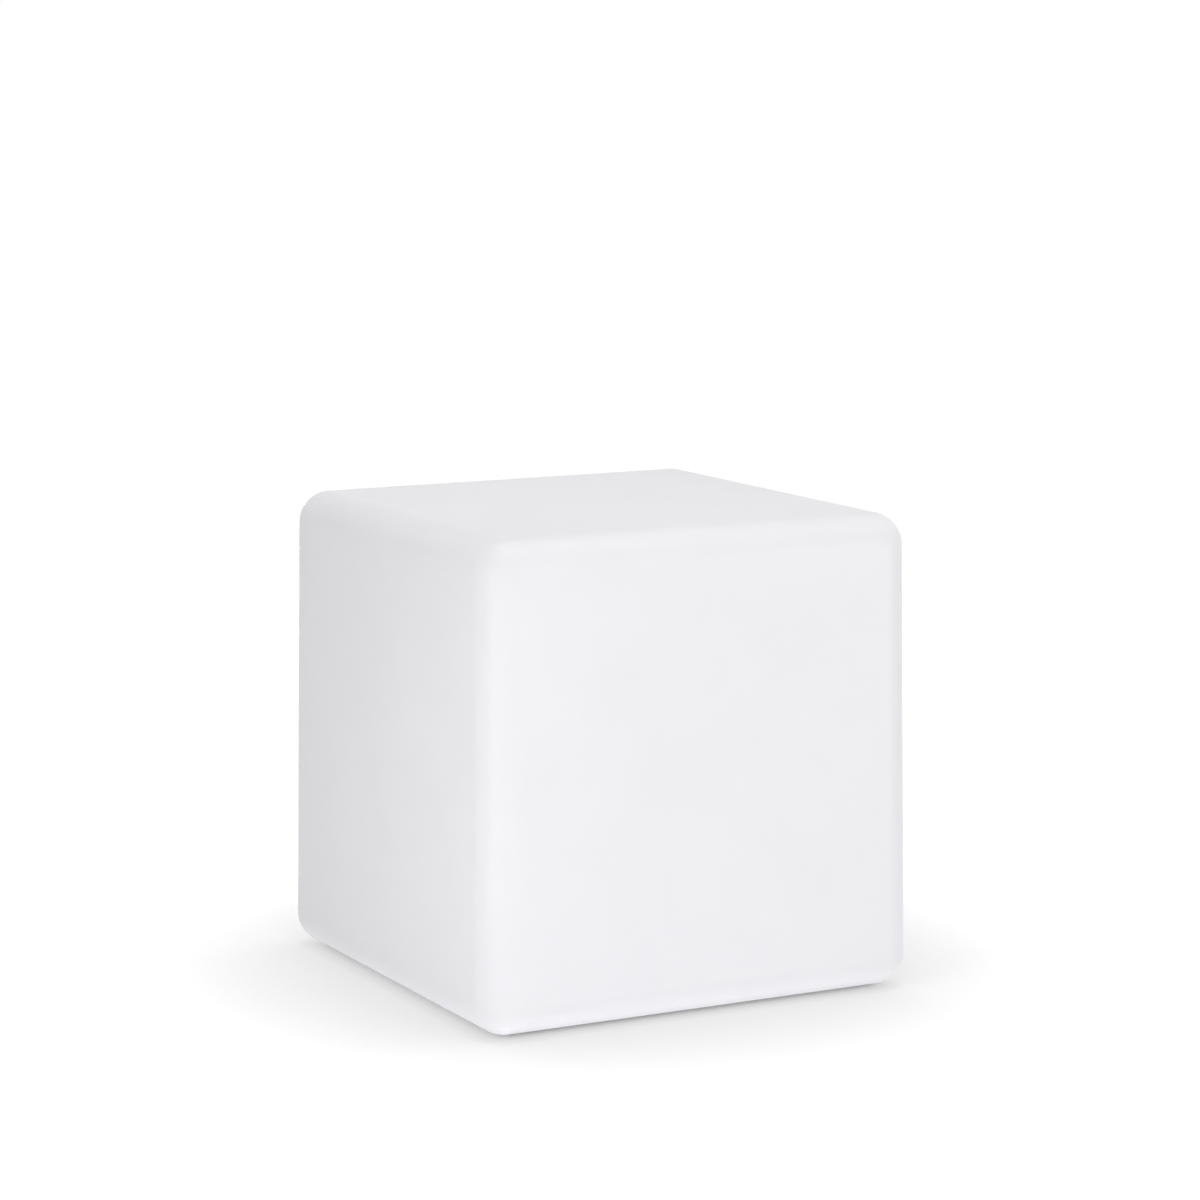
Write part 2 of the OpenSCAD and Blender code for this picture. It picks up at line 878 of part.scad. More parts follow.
module battery_guard_board()
    color("seagreen") block(guard_l, guard_w, guard_z, guard_top);

module battery_clamp()
    color("silver")
    difference() {
        union() {
            block(clamp_w, 2 * (clamp_side + clamp_t), holder_top, clamp_top);
            block(clamp_w, 2 * (clamp_side + clamp_t + clamp_ear_l),
                  holder_top, holder_top + clamp_ear_t);
        }
        block(clamp_w + past, 2 * clamp_side, holder_top - past, clamp_top - clamp_t);
        for (y = [-1, 1])
            translate([0, y * clamp_screw_y, 0])
                disc(small_screw_r + slide_gap, holder_top - past,
                     holder_top + clamp_ear_t + past);
    }

module battery_clamp_screws()
    color("silver")
    for (y = [-1, 1])
        translate([0, y * clamp_screw_y, holder_top + clamp_ear_t])
            screw_down(small_screw_r, small_screw_l, small_head_r, small_head_h);

// Points of a quarter bend in the XZ plane, round a centre from angle a0 to a1
function bend(cx, cz, a0, a1) =
    [for (i = [0:bend_steps]) let (a = a0 + (a1 - a0) * i / bend_steps)
        [cx + bend_r * cos(a), cz + bend_r * sin(a)]];

// Direction of a route at one of its points, and the route moved sideways
function unit(v) = v / norm(v);
function heading(p, i) = unit(p[min(i + 1, len(p) - 1)] - p[max(i - 1, 0)]);
function beside(p, d) =
    [for (i = [0:len(p) - 1]) p[i] + d * [-heading(p, i)[1], heading(p, i)[0]]];
function backwards(p) = [for (i = [len(p) - 1:-1:0]) p[i]];

// Routes in the XZ plane: the ribbon to the light board and the leads from the battery
lead_z = board_top + plug_up;
ribbon_start_x = board_header_x + header_w / 2 + plug_l;
ribbon_end = [led_header_x + header_w / 2 + plug_l, led_board_top + plug_up];
ribbon_route = concat(
    [[ribbon_start_x, lead_z]],
    bend(grommet_x - bend_r, lead_z + bend_r, -90, 0),
    bend(grommet_x - bend_r, ribbon_end[1] - bend_r, 0, 90),
    [ribbon_end]
);
wire_top = guard_top + wire_r + run_gap;
wire_x = -(holder_end + cup_in) / 2;
wire_route = concat(
    [[-guard_l / 2 + wire_hold, wire_top]],
    bend(wire_x + bend_r, wire_top - bend_r, 90, 180),
    bend(wire_x + bend_r, lead_z + bend_r, 180, 270),
    [[-ribbon_start_x, lead_z]]
);

// A flat ribbon along a route in the XZ plane
module ribbon(route, t, w)
    rotate([90, 0, 0])
    linear_extrude(w, center = true)
    polygon(concat(beside(route, t / 2), backwards(beside(route, -t / 2))));

// A round wire along a route in the XZ plane
module wire(route, y, r) {
    sides = wire_sides;
    rings = len(route);
    points = [
        for (i = [0:rings - 1], k = [0:sides - 1])
            let (h = heading(route, i), a = 360 * (k + 0.5) / sides)
            [route[i][0] - h[1] * r * cos(a), y + r * sin(a), route[i][1] + h[0] * r * cos(a)]
    ];
    sleeve = [
        for (i = [0:rings - 2], k = [0:sides - 1])
            let (n = (k + 1) % sides, low = i * sides, high = low + sides)
            [low + k, low + n, high + n, high + k]
    ];
    polyhedron(points, concat(sleeve, [
        [for (k = [sides - 1:-1:0]) k],
        [for (k = [0:sides - 1]) (rings - 1) * sides + k],
    ]));
}

module battery_lead_positive() color("red") wire(wire_route, wire_y, wire_r);
module battery_lead_negative() color("black") wire(wire_route, -wire_y, wire_r);

module lead_plug() block(plug_l, plug_w, plug_up - plug_h / 2, plug_up + plug_h / 2);

module battery_plug()
    color("ivory")
    translate([-board_header_x - (header_w + plug_l) / 2, 0, board_top]) lead_plug();

module light_plate()
    color("silver")
    difference() {
        disc(seat_r - slide_gap, plate_z, plate_top);
        at_angles(plate_post_angles, plate_post_ring)
            disc(post_screw_r + slide_gap, plate_z - past, plate_top + past);
        at_angles(led_screw_angles, led_screw_ring)
            disc(small_screw_r + press_gap, plate_z - past, plate_top + past);
        translate([grommet_x, 0, 0])
            disc(grommet_neck_r + press_gap, plate_z - past, plate_top + past);
    }

module light_plate_screws()
    color("silver")
    at_angles(plate_post_angles, plate_post_ring)
    translate([0, 0, plate_top])
    screw_down(post_screw_r, post_screw_l, post_head_r, post_head_h);

module light_board()
    color("white")
    difference() {
        disc(led_board_r, plate_top, led_board_top);
        at_angles(led_screw_angles, led_screw_ring)
            disc(small_screw_r + slide_gap, plate_top - past, led_board_top + past);
    }

module light_board_screws()
    color("silver")
    at_angles(led_screw_angles, led_screw_ring)
    translate([0, 0, led_board_top])
    screw_down(small_screw_r, led_screw_l, small_head_r, small_head_h);

module light_chips()
    color("lemonchiffon") {
        ring_of(led_count, ring_chip_r)
            block(chip_w, chip_w, led_board_top, led_board_top + chip_h);
        ring_of(inner_count, inner_chip_r, 45)
            block(chip_w, chip_w, led_board_top, led_board_top + chip_h);
    }

module light_board_header()
    color("ivory") translate([led_header_x, 0, led_board_top]) board_header();

module remote_receiver()
    color("black")
    translate([receiver_at[0], receiver_at[1], led_board_top]) {
        block(receiver_l, receiver_w, 0, receiver_h);
        translate([0, 0, eye_z]) rotate([0, 90, 0]) cylinder(r = eye_r, h = eye_l);
    }

module ribbon_grommet()
    color("dimgray")
    translate([grommet_x, 0, 0])
    difference() {
        union() {
            disc(grommet_neck_r, plate_z - grommet_lip_t, plate_top + grommet_lip_t);
            disc(grommet_lip_r, plate_z - grommet_lip_t, plate_z);
            disc(grommet_lip_r, plate_top, plate_top + grommet_lip_t);
        }
        block(ribbon_t + 2 * grommet_gap, ribbon_w + 2 * grommet_gap,
              plate_z - grommet_lip_t - past, plate_top + grommet_lip_t + past);
    }

module light_ribbon() color("gray") ribbon(ribbon_route, ribbon_t, ribbon_w);

module light_ribbon_plugs()
    color("ivory") {
        translate([board_header_x + (header_w + plug_l) / 2, 0, board_top]) lead_plug();
        translate([led_header_x + (header_w + plug_l) / 2, 0, led_board_top]) lead_plug();
    }

// The frosted dome over the light chips, with a flange that screws to the rim
module light_cover() {
    foot_in = seat_r - dome_inset;
    foot_r = foot_in + dome_t;
    ball_r = (pow(foot_r, 2) + pow(dome_h, 2)) / (2 * dome_h);
    ball_z = cover_top + dome_h - ball_r;
    bore_r = sqrt(pow(ball_r - dome_t, 2) - pow(cover_top - ball_z, 2));
    color("white")
    difference() {
        union() {
            disc(rim_r, rim_top, cover_top);
            intersection() {
                translate([0, 0, ball_z]) sphere(ball_r, $fn = 96);
                disc(foot_r, rim_top + past, cover_top + dome_h + past);
            }
        }
        intersection() {
            translate([0, 0, ball_z]) sphere(ball_r - dome_t, $fn = 96);
            disc(bore_r, cover_top - past, cover_top + dome_h);
        }
        disc(bore_r, rim_top - past, cover_top);
        ring_of(cover_count, cover_screw_r, 30)
            disc(small_screw_r + slide_gap, rim_top - past, cover_top + past);
    }
}

module light_cover_seal()
    color("dimgray")
    tube(seal_r - seal_w / 2 + press_gap, seal_r + seal_w / 2 - press_gap,
         rim_top - seal_h, rim_top);

module light_cover_screws()
    color("silver")
    ring_of(cover_count, cover_screw_r, 30)
    translate([0, 0, cover_top])
    screw_down(small_screw_r, small_screw_l, small_head_r, small_head_h);

diffuser_shell();
foot(-1, -1);  // foot_front_left
foot(1, -1);  // foot_front_right
foot(-1, 1);  // foot_rear_left
foot(1, 1);  // foot_rear_right
shell_inserts();
housing_gasket();
base_housing();
housing_screws();
power_button();
power_button_seal();
mode_button();
mode_button_seal();
charging_door();
charging_door_seal();
charging_door_pin();
charge_lamp_lens();
charge_lamp_chip();
pressure_vent();
pressure_vent_nut();
vent_membrane();
control_board();
control_board_screws();
power_switch();
power_switch_plunger();
mode_switch();
mode_switch_plunger();
charging_socket();
charging_socket_tongue();
control_chips();
power_coil();
capacitors();
board_headers();
battery_holder();
battery_holder_screws();
battery_cell_front();
battery_cell_rear();
battery_links();
battery_guard_board();
battery_clamp();
battery_clamp_screws();
battery_lead_positive();
battery_lead_negative();
battery_plug();
light_plate();
light_plate_screws();
light_board();
light_board_screws();
light_chips();
light_board_header();
remote_receiver();
ribbon_grommet();
light_ribbon();
light_ribbon_plugs();
light_cover();
light_cover_seal();
light_cover_screws();
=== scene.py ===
"""Garden cube light: the finished look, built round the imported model. Lengths are in metres."""
import json
import math

import bmesh
import bpy
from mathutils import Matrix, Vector, noise


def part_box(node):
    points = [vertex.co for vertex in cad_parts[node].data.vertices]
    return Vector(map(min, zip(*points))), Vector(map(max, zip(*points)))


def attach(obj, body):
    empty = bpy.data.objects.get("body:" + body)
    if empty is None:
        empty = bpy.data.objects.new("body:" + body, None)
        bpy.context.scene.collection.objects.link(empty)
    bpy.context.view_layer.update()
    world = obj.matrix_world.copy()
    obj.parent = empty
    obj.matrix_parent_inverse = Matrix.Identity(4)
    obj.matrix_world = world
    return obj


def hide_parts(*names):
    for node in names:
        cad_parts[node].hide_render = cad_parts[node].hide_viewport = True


# Shell: the moulded cube's own sizes, where NEAR_EDGE is a share of half a side's flat
EDGE_RADIUS = 0.027
SIDE_LEAN = 0.004
WALL = 0.004
ARC_STEPS = 9
FLAT_STEPS = 46
INNER_ARC_STEPS = 4
INNER_FLAT_STEPS = 12
NEAR_EDGE = 0.006
WAVE_DEPTH = 0.00015
WAVE_SIZE = 0.17
WAVE_START = 0.03
MOUTH_ROUND = 0.0012
ROUND_STEPS = 5
LATHE_STEPS = 128
SMALL_LATHE_STEPS = 48
RECESS_GAP = 0.001
OPENING_GAP = 0.001
FOOT_GAP = 0.00015
INSERT_COUNT = 6
INSERT_RADIUS = 0.0033
BOSS_WALL = 0.003
BORE_ROOM = 0.0006
PAST = 0.001
SMOOTH_ANGLE = math.radians(32)
JOIN_DISTANCE = 0.000001

# Eased edges of the carried-over pieces that are seen underneath
FLAT_ANGLE = math.radians(0.5)
EASE_ANGLE = math.radians(40)
EASE_STEPS = 2
EASED = {
    "base_housing": 0.00007,
    "power_button": 0.00012,
    "mode_button": 0.00012,
    "charging_door": 0.00015,
    "foot_front_left": 0.0004,
    "foot_front_right": 0.0004,
    "foot_rear_left": 0.0004,
    "foot_rear_right": 0.0004,
}

# Camera: fitted to the photograph's outline, with the lens and sensor in millimetres
CAMERA_PLACE = (-1.4627, -2.7833, 0.8072)
CAMERA_YAW = 0.4855
CAMERA_PITCH = 0.1546
CAMERA_LENS = 112.36
SENSOR = 36

# Studio: floor, world and lamps
FLOOR_SIDE = 30
FLOOR_WHITE = 0.9
FLOOR_SEEN = 0.2
# Seen directly, the floor is a weak lit white that keeps the lamps' real shadow, plus a glow that
# ambient occlusion dims near the object. That dimming is a painted shadow round its foot.
PAINTED_SHADOW_REACH = 0.25
PAINTED_SHADOW_STOPS = ((0, 0.15), (0.12, 0.5), (0.3, 0.6), (0.5, 0.66), (0.75, 0.77), (1, 0.96))
AMBIENT_FRONT = 0.49
AMBIENT_BACK = 0.42
LAMPS = {
    "top_lamp": ((0, -0.15, 1.6), 1, 6.8),
    "left_lamp": ((-1, -0.65, 0.25), 0.4, 3.1),
    "right_lamp": ((1.4, -2.3, 0.35), 0.6, 16.4),
    "back_lamp": ((0.35, 2.3, 0.3), 0.6, 9),
    "under_lamp": ((0, 0, -1.2), 0.36, 3.7),
}
LAMP_AIM = Vector((0, 0, 0.2))

# Materials: plain colours, the usual range of a noise and how far tool marks are pressed
# together along each axis. A larger scale makes a finer pattern. The band is where the cell's
# sleeve turns pale, along its length.
WHITE = (1, 1, 1, 1)
BLACK = (0, 0, 0, 1)
NOISE_LOW = 0.25
NOISE_HIGH = 0.75
MARKS_ALONG_X = (1, 14, 14)
MARKS_ALONG_Y = (14, 1, 14)
TRACE_SCALE = 260
TRACE_WIDTH = 0.05
CUTTER_SCALE = 400
SLEEVE_BAND = (0.0268, 0.0272)


def paint(red, green, blue):
    """The shader's value of a colour as it is seen on a screen, each part from 0 to 255."""
    parts = []
    for part in (red, green, blue):
        share = part / 255
        low = share / 12.92
        parts.append(low if share <= 0.04045 else ((share + 0.055) / 1.055) ** 2.4)
    return (*parts, 1)


def new_object(name, bm):
    """An object that holds the bmesh's faces."""
    mesh = bpy.data.meshes.new(name)
    bm.to_mesh(mesh)
    bm.free()
    made = bpy.data.objects.new(name, mesh)
    bpy.context.scene.collection.objects.link(made)
    return made


def add_node(tree, kind, inputs=None, **settings):
    """A new node. What goes into a socket is another node's output or a plain value."""
    made = tree.nodes.new(kind)
    for setting, value in settings.items():
        setattr(made, setting, value)
    for socket, value in (inputs or {}).items():
        if isinstance(value, bpy.types.NodeSocket):
            tree.links.new(value, made.inputs[socket])
        else:
            made.inputs[socket].default_value = value
    return made


# Shell


def side_marks(arc_steps, flat_steps):
    """Marks along one side of the cube: a share of the flat, and a reach into the rounding."""
    arc = [math.tan(math.pi / 4 * i / arc_steps) for i in range(arc_steps, 0, -1)]
    low = [(-1, -reach) for reach in arc]
    inner = [2 * i / flat_steps - 1 for i in range(1, flat_steps)]
    flat = [(share, 0) for share in (-1, NEAR_EDGE - 1, *inner, 1 - NEAR_EDGE, 1)]
    high = [(1, reach) for reach in reversed(arc)]
    return low + flat + high


def skin_point(shares, reaches, skin):
    """A point on a rounded cube whose sides lean in towards the top, and the way it faces."""
    out = Vector(reaches).normalized()
    half = skin["side"] - SIDE_LEAN * (shares[2] + 1) / 2
    middle = Vector((shares[0] * half, shares[1] * half, skin["z"] + shares[2] * skin["rise"]))
    return middle + out * skin["radius"], out


def wave(place, bottom):
    """How far the moulded skin lies inside its true shape, nothing at the underside."""
    rise = min(max((place.z - bottom) / WAVE_START, 0), 1)
    return WAVE_DEPTH * rise * (0.5 + 0.5 * noise.noise(place / WAVE_SIZE))


def skin_row(bm, axis, sign, row_mark, marks, skin):
    """One row of points on the side of the rounded cube that faces along the axis."""
    across, along = [way for way in range(3) if way != axis]
    row = []
    for mark in marks:
        shares, reaches = [sign] * 3, [sign] * 3
        shares[across], reaches[across] = mark
        shares[along], reaches[along] = row_mark
        place, out = skin_point(shares, reaches, skin)
        if skin["bottom"] is not None:
            place -= out * wave(place, skin["bottom"])
        row.append(bm.verts.new(place))
    return row


def fill_grid(bm, rows):
    for low, high in zip(rows, rows[1:]):
        for i in range(len(low) - 1):
            bm.faces.new((low[i], low[i + 1], high[i + 1], high[i]))


def rounded_cube(name, skin, steps):
    """Six grids joined to a rounded cube. With a bottom height in the skin, it is wavy."""
    bm = bmesh.new()
    marks = side_marks(*steps)
    for axis in range(3):
        for sign in (-1, 1):
            fill_grid(bm, [skin_row(bm, axis, sign, mark, marks, skin) for mark in marks])
    bmesh.ops.remove_doubles(bm, verts=bm.verts, dist=JOIN_DISTANCE)
    bmesh.ops.recalc_face_normals(bm, faces=bm.faces)
    return new_object(name, bm)


def lathe(bm, profile, centre, steps):
    """A closed solid turned round an upright axis. The profile starts and ends on the axis."""
    rings = []
    for radius, height in profile:
        if radius == 0:
            rings.append([bm.verts.new((centre[0], centre[1], height))])
            continue
        ring = []
        for i in range(steps):
            angle = 2 * math.pi * i / steps
            ring.append(bm.verts.new((centre[0] + radius * math.cos(angle),
                                      centre[1] + radius * math.sin(angle), height)))
        rings.append(ring)
    for low, high in zip(rings, rings[1:]):
        for i in range(steps):
            j = (i + 1) % steps
            corners = [low[i % len(low)], low[j % len(low)], high[j % len(high)], high[i % len(high)]]
            bm.faces.new(list(dict.fromkeys(corners)))


def mouth(radius, height):
    """Profile points of a hole's rounded rim, from just below the face up into the hole."""
    points = [(radius + MOUTH_ROUND, height - PAST)]
    for i in range(ROUND_STEPS + 1):
        angle = math.pi / 2 * i / ROUND_STEPS
        points.append((radius + MOUTH_ROUND * (1 - math.sin(angle)),
                       height + MOUTH_ROUND * (1 - math.cos(angle))))
    return points


def cut_or_join(target, tool, operation):
    """Applies one boolean step to the target's mesh and removes the tool."""
    step = target.modifiers.new("step", "BOOLEAN")
    step.operation = operation
    step.solver = "EXACT"
    step.object = tool
    graph = bpy.context.evaluated_depsgraph_get()
    mesh = bpy.data.meshes.new_from_object(target.evaluated_get(graph))
    target.modifiers.remove(step)
    old = target.data
    target.data = mesh
    bpy.data.meshes.remove(old)
    bpy.data.objects.remove(tool)


def on_axis(profile):
    """The profile closed to the axis at both ends."""
    return [(0, profile[0][1])] + profile + [(0, profile[-1][1])]


def middle_of(node):
    low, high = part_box(node)
    return (low + high) / 2


def insert_places():
    """Centres of the threaded inserts, which stand at equal angles round the middle."""
    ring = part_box("shell_inserts")[1].x - INSERT_RADIUS
    turns = [2 * math.pi / INSERT_COUNT * i for i in range(INSERT_COUNT)]
    return [(ring * math.cos(turn), ring * math.sin(turn)) for turn in turns]


def rods_at_inserts(radius, low, high):
    """An upright rod at each insert, as solids to be turned."""
    rod = [(radius, low), (radius, high)]
    return [(rod, centre, SMALL_LATHE_STEPS) for centre in insert_places()]


def foot_pockets(bottom):
    """The four feet's pockets, as solids to be turned."""
    pockets = []
    for side in ("front_left", "front_right", "rear_left", "rear_right"):
        low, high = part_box("foot_" + side)
        radius = (high.x - low.x) / 2 + FOOT_GAP
        profile = mouth(radius, bottom) + [(radius, high.z)]
        pockets.append((profile, middle_of("foot_" + side), SMALL_LATHE_STEPS))
    return pockets


def turned(name, solids):
    """One object of solids turned round upright axes, each with its profile, centre and steps."""
    bm = bmesh.new()
    for profile, centre, steps in solids:
        lathe(bm, on_axis(profile), centre, steps)
    return new_object(name, bm)


def outer_skin(low, high):
    """The outer rounded cube that fills the space between two corners."""
    return {
        "side": high.x - EDGE_RADIUS,
        "z": (low.z + high.z) / 2,
        "rise": (high.z - low.z) / 2 - EDGE_RADIUS,
        "radius": EDGE_RADIUS,
        "bottom": low.z,
    }


def recess_profile(radius, opening_radius, bottom, top):
    """The housing's recess and, above it, the opening that the light shines through."""
    steps = [(radius, top), (opening_radius, top), (opening_radius, top + WALL + PAST)]
    return mouth(radius, bottom) + steps


def make_shell():
    """The hollow cube with its recess, opening, foot pockets and insert bosses."""
    low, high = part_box("diffuser_shell")
    insert_low, insert_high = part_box("shell_inserts")
    bottom, recess_top = low.z, insert_low.z
    bore_top = insert_high.z + BORE_ROOM
    recess_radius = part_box("base_housing")[1].x + RECESS_GAP
    opening_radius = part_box("light_cover")[1].x + OPENING_GAP
    ledge_radius = recess_radius + WALL

    skin = outer_skin(low, high)
    shell = rounded_cube("cube_shell", skin, (ARC_STEPS, FLAT_STEPS))
    skin.update(radius=EDGE_RADIUS - WALL, bottom=None)
    cavity = rounded_cube("cavity", skin, (INNER_ARC_STEPS, INNER_FLAT_STEPS))
    cut_or_join(shell, cavity, "DIFFERENCE")

    ledge = [(ledge_radius, bottom + WALL / 2), (ledge_radius, recess_top + WALL)]
    recess = recess_profile(recess_radius, opening_radius, bottom, recess_top)
    bosses = rods_at_inserts(INSERT_RADIUS + BOSS_WALL, recess_top + WALL / 2, bore_top + BOSS_WALL)
    mouths = [(recess, (0, 0), LATHE_STEPS)] + foot_pockets(bottom)
    bores = rods_at_inserts(INSERT_RADIUS, recess_top - PAST, bore_top)
    cut_or_join(shell, turned("ledge", [(ledge, (0, 0), LATHE_STEPS)]), "UNION")
    cut_or_join(shell, turned("bosses", bosses), "UNION")
    cut_or_join(shell, turned("mouths", mouths), "DIFFERENCE")
    cut_or_join(shell, turned("bores", bores), "DIFFERENCE")

    shell.data.shade_smooth()
    shell.data.set_sharp_from_angle(angle=SMOOTH_ANGLE)
    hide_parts("diffuser_shell")
    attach(shell, "base")
    return shell


# Studio


def make_camera():
    data = bpy.data.cameras.new("camera")
    data.lens = CAMERA_LENS
    data.sensor_width = SENSOR
    camera = bpy.data.objects.new("camera", data)
    camera.location = CAMERA_PLACE
    camera.rotation_euler = (math.pi / 2 - CAMERA_PITCH, 0, -CAMERA_YAW)
    bpy.context.scene.collection.objects.link(camera)
    bpy.context.scene.camera = camera


def seen_directly(tree):
    """One for rays that come straight from the camera, by a reflection or through glass."""
    rays = add_node(tree, "ShaderNodeLightPath").outputs
    inputs = {0: rays["Is Camera Ray"], 1: rays["Is Glossy Ray"]}
    either = add_node(tree, "ShaderNodeMath", inputs, operation="MAXIMUM")
    inputs = {0: either.outputs[0], 1: rays["Is Transmission Ray"]}
    return add_node(tree, "ShaderNodeMath", inputs, operation="MAXIMUM").outputs[0]


def glow_with_painted_shadow(tree, seen):
    """A glow that only direct views see, weaker where the object closes the floor in: ambient
    occlusion paints the shadow round the object's foot.
    """
    openness = add_node(tree, "ShaderNodeAmbientOcclusion", {"Distance": PAINTED_SHADOW_REACH})
    painted_shadow_ramp = add_node(tree, "ShaderNodeValToRGB", {"Fac": openness.outputs["AO"]})
    stops = painted_shadow_ramp.color_ramp.elements
    stops.remove(stops[1])
    for index, (open_share, level) in enumerate(PAINTED_SHADOW_STOPS):
        stop = stops[0] if index == 0 else stops.new(open_share)
        stop.position = open_share
        stop.color = (level, level, level, 1)
    inputs = {0: seen, 1: painted_shadow_ramp.outputs[0]}
    strength = add_node(tree, "ShaderNodeMath", inputs, operation="MULTIPLY")
    return add_node(tree, "ShaderNodeEmission", {"Strength": strength.outputs[0]})


def floor_material():
    """White and matt, with the glow on top, whose dimming near the object is a painted shadow, and
    clear from below.
    """
    material = bpy.data.materials.new("floor_white")
    material.use_nodes = True
    tree = material.node_tree
    tree.nodes.clear()
    seen = seen_directly(tree)
    inputs = {"Value": seen, "To Min": FLOOR_WHITE, "To Max": FLOOR_SEEN}
    shade = add_node(tree, "ShaderNodeMapRange", inputs)
    matt = add_node(tree, "ShaderNodeBsdfDiffuse", {"Color": shade.outputs["Result"]})
    glow = glow_with_painted_shadow(tree, seen)
    both = add_node(tree, "ShaderNodeAddShader", {0: matt.outputs[0], 1: glow.outputs[0]})
    side = add_node(tree, "ShaderNodeNewGeometry")
    clear = add_node(tree, "ShaderNodeBsdfTransparent")
    inputs = {0: side.outputs["Backfacing"], 1: both.outputs[0], 2: clear.outputs[0]}
    one_way = add_node(tree, "ShaderNodeMixShader", inputs)
    add_node(tree, "ShaderNodeOutputMaterial", {"Surface": one_way.outputs[0]})
    return material


def make_floor():
    bm = bmesh.new()
    bmesh.ops.create_grid(bm, x_segments=1, y_segments=1, size=FLOOR_SIDE / 2)
    floor = new_object("floor", bm)
    floor.data.materials.append(floor_material())
    return floor


def make_world():
    """White where it is seen, and for the rest a soft studio light, stronger from the front."""
    world = bpy.data.worlds.new("studio")
    world.use_nodes = True
    bpy.context.scene.world = world
    tree = world.node_tree
    tree.nodes.clear()
    place = add_node(tree, "ShaderNodeTexCoord")
    split = add_node(tree, "ShaderNodeSeparateXYZ", {0: place.outputs["Generated"]})
    inputs = {"Value": split.outputs["Y"], "From Min": -1}
    inputs.update({"To Min": AMBIENT_FRONT, "To Max": AMBIENT_BACK})
    level = add_node(tree, "ShaderNodeMapRange", inputs)
    inputs = {"Color": WHITE, "Strength": level.outputs["Result"]}
    light = add_node(tree, "ShaderNodeBackground", inputs)
    white = add_node(tree, "ShaderNodeBackground", {"Color": WHITE})
    inputs = {0: seen_directly(tree), 1: light.outputs[0], 2: white.outputs[0]}
    mix = add_node(tree, "ShaderNodeMixShader", inputs)
    add_node(tree, "ShaderNodeOutputWorld", {"Surface": mix.outputs[0]})


def make_lamps(floor):
    """Soft square lamps. The floor doesn't stop the one under it, which lights the underside."""
    for name, (place, side, power) in LAMPS.items():
        data = bpy.data.lights.new(name, "AREA")
        data.shape = "SQUARE"
        data.size = side
        data.energy = power
        lamp = bpy.data.objects.new(name, data)
        lamp.location = place
        aim = LAMP_AIM - Vector(place)
        lamp.rotation_euler = aim.to_track_quat("-Z", "Y").to_euler()
        lamp.visible_camera = False
        bpy.context.scene.collection.objects.link(lamp)
        if place[2] < 0:
            passed = bpy.data.collections.new("let_through")
            passed.objects.link(floor)
            passed.collection_objects[0].light_linking.link_state = "EXCLUDE"
            lamp.light_linking.blocker_collection = passed


# Materials


class Look:
    """A material in the making: its nodes, its shader and the object's own coordinates."""

    def __init__(self, name, **sockets):
        self.material = bpy.data.materials.new(name)
        self.material.use_nodes = True
        self.tree = self.material.node_tree
        self.shader = self.tree.nodes["Principled BSDF"]
        self.place = self.add("TexCoord").outputs["Object"]
        self.relief = None
        for socket, value in sockets.items():
            self.shader.inputs[socket.replace("_", " ")].default_value = value

    def add(self, kind, inputs=None, **settings):
        return add_node(self.tree, "ShaderNode" + kind, inputs, **settings)

    def stretched(self, stretch):
        """The object's coordinates, drawn out or pressed together along each axis."""
        return self.add("Mapping", {"Vector": self.place, "Scale": stretch}).outputs[0]

    def grain(self, size, detail=3, stretch=None, distortion=0):
        """Even noise whose lumps are about as wide as the size."""
        where = self.place if stretch is None else self.stretched(stretch)
        inputs = {"Vector": where, "Scale": 1 / size, "Detail": detail, "Distortion": distortion}
        return self.add("TexNoise", inputs).outputs["Fac"]

    def cells(self, size, output="Distance", metric="EUCLIDEAN"):
        """A pattern of cells, such as grit or lands on a board."""
        inputs = {"Vector": self.place, "Scale": 1 / size}
        return self.add("TexVoronoi", inputs, distance=metric).outputs[output]

    def bands(self, size, axis):
        """Ridges across one axis, one each size apart."""
        inputs = {"Vector": self.place, "Scale": math.pi / 10 / size}
        return self.add("TexWave", inputs, bands_direction=axis).outputs["Fac"]

    def ramp(self, factor, low, high, start=0.3, end=0.7):
        """A colour that runs from low to high as the pattern does."""
        made = self.add("ValToRGB", {"Fac": factor})
        stops = made.color_ramp.elements
        stops[0].position, stops[0].color = start, low
        stops[1].position, stops[1].color = end, high
        return made.outputs["Color"]

    def over(self, base, top, mask):
        """One colour over another where the mask is light."""
        made = self.add("Mix", {"Factor": mask, "A": base, "B": top}, data_type="RGBA")
        return made.outputs["Result"]

    def mask(self, factor, start, end):
        """The pattern with its contrast raised, from 0 at start to 1 at end."""
        inputs = {"Value": factor, "From Min": start, "From Max": end}
        return self.add("MapRange", inputs).outputs["Result"]

    def colour(self, socket):
        self.tree.links.new(socket, self.shader.inputs["Base Color"])
        return self

    def rough(self, factor, low, high):
        """Roughness that follows the pattern from low to high."""
        inputs = {"Value": factor, "From Min": NOISE_LOW, "From Max": NOISE_HIGH}
        inputs.update({"To Min": low, "To Max": high})
        made = self.add("MapRange", inputs).outputs["Result"]
        self.tree.links.new(made, self.shader.inputs["Roughness"])
        return self

    def raised(self, factor, height):
        """Relief of a real height on top of what is there already."""
        inputs = {"Height": factor, "Distance": height, "Strength": 1}
        if self.relief is not None:
            inputs["Normal"] = self.relief
        self.relief = self.add("Bump", inputs).outputs["Normal"]
        self.tree.links.new(self.relief, self.shader.inputs["Normal"])
        return self


def moulded(name, dark, light, rough, grain=0.0005, height=0.00001, **sockets):
    """Moulded plastic: a fine eroded texture and the faint cloudiness of its colour."""
    look = Look(name, **sockets)
    look.colour(look.ramp(look.grain(0.03), paint(*dark), paint(*light)))
    look.rough(look.grain(0.008), *rough)
    look.raised(look.grain(0.006), height).raised(look.grain(grain, detail=2), height)
    return look.material


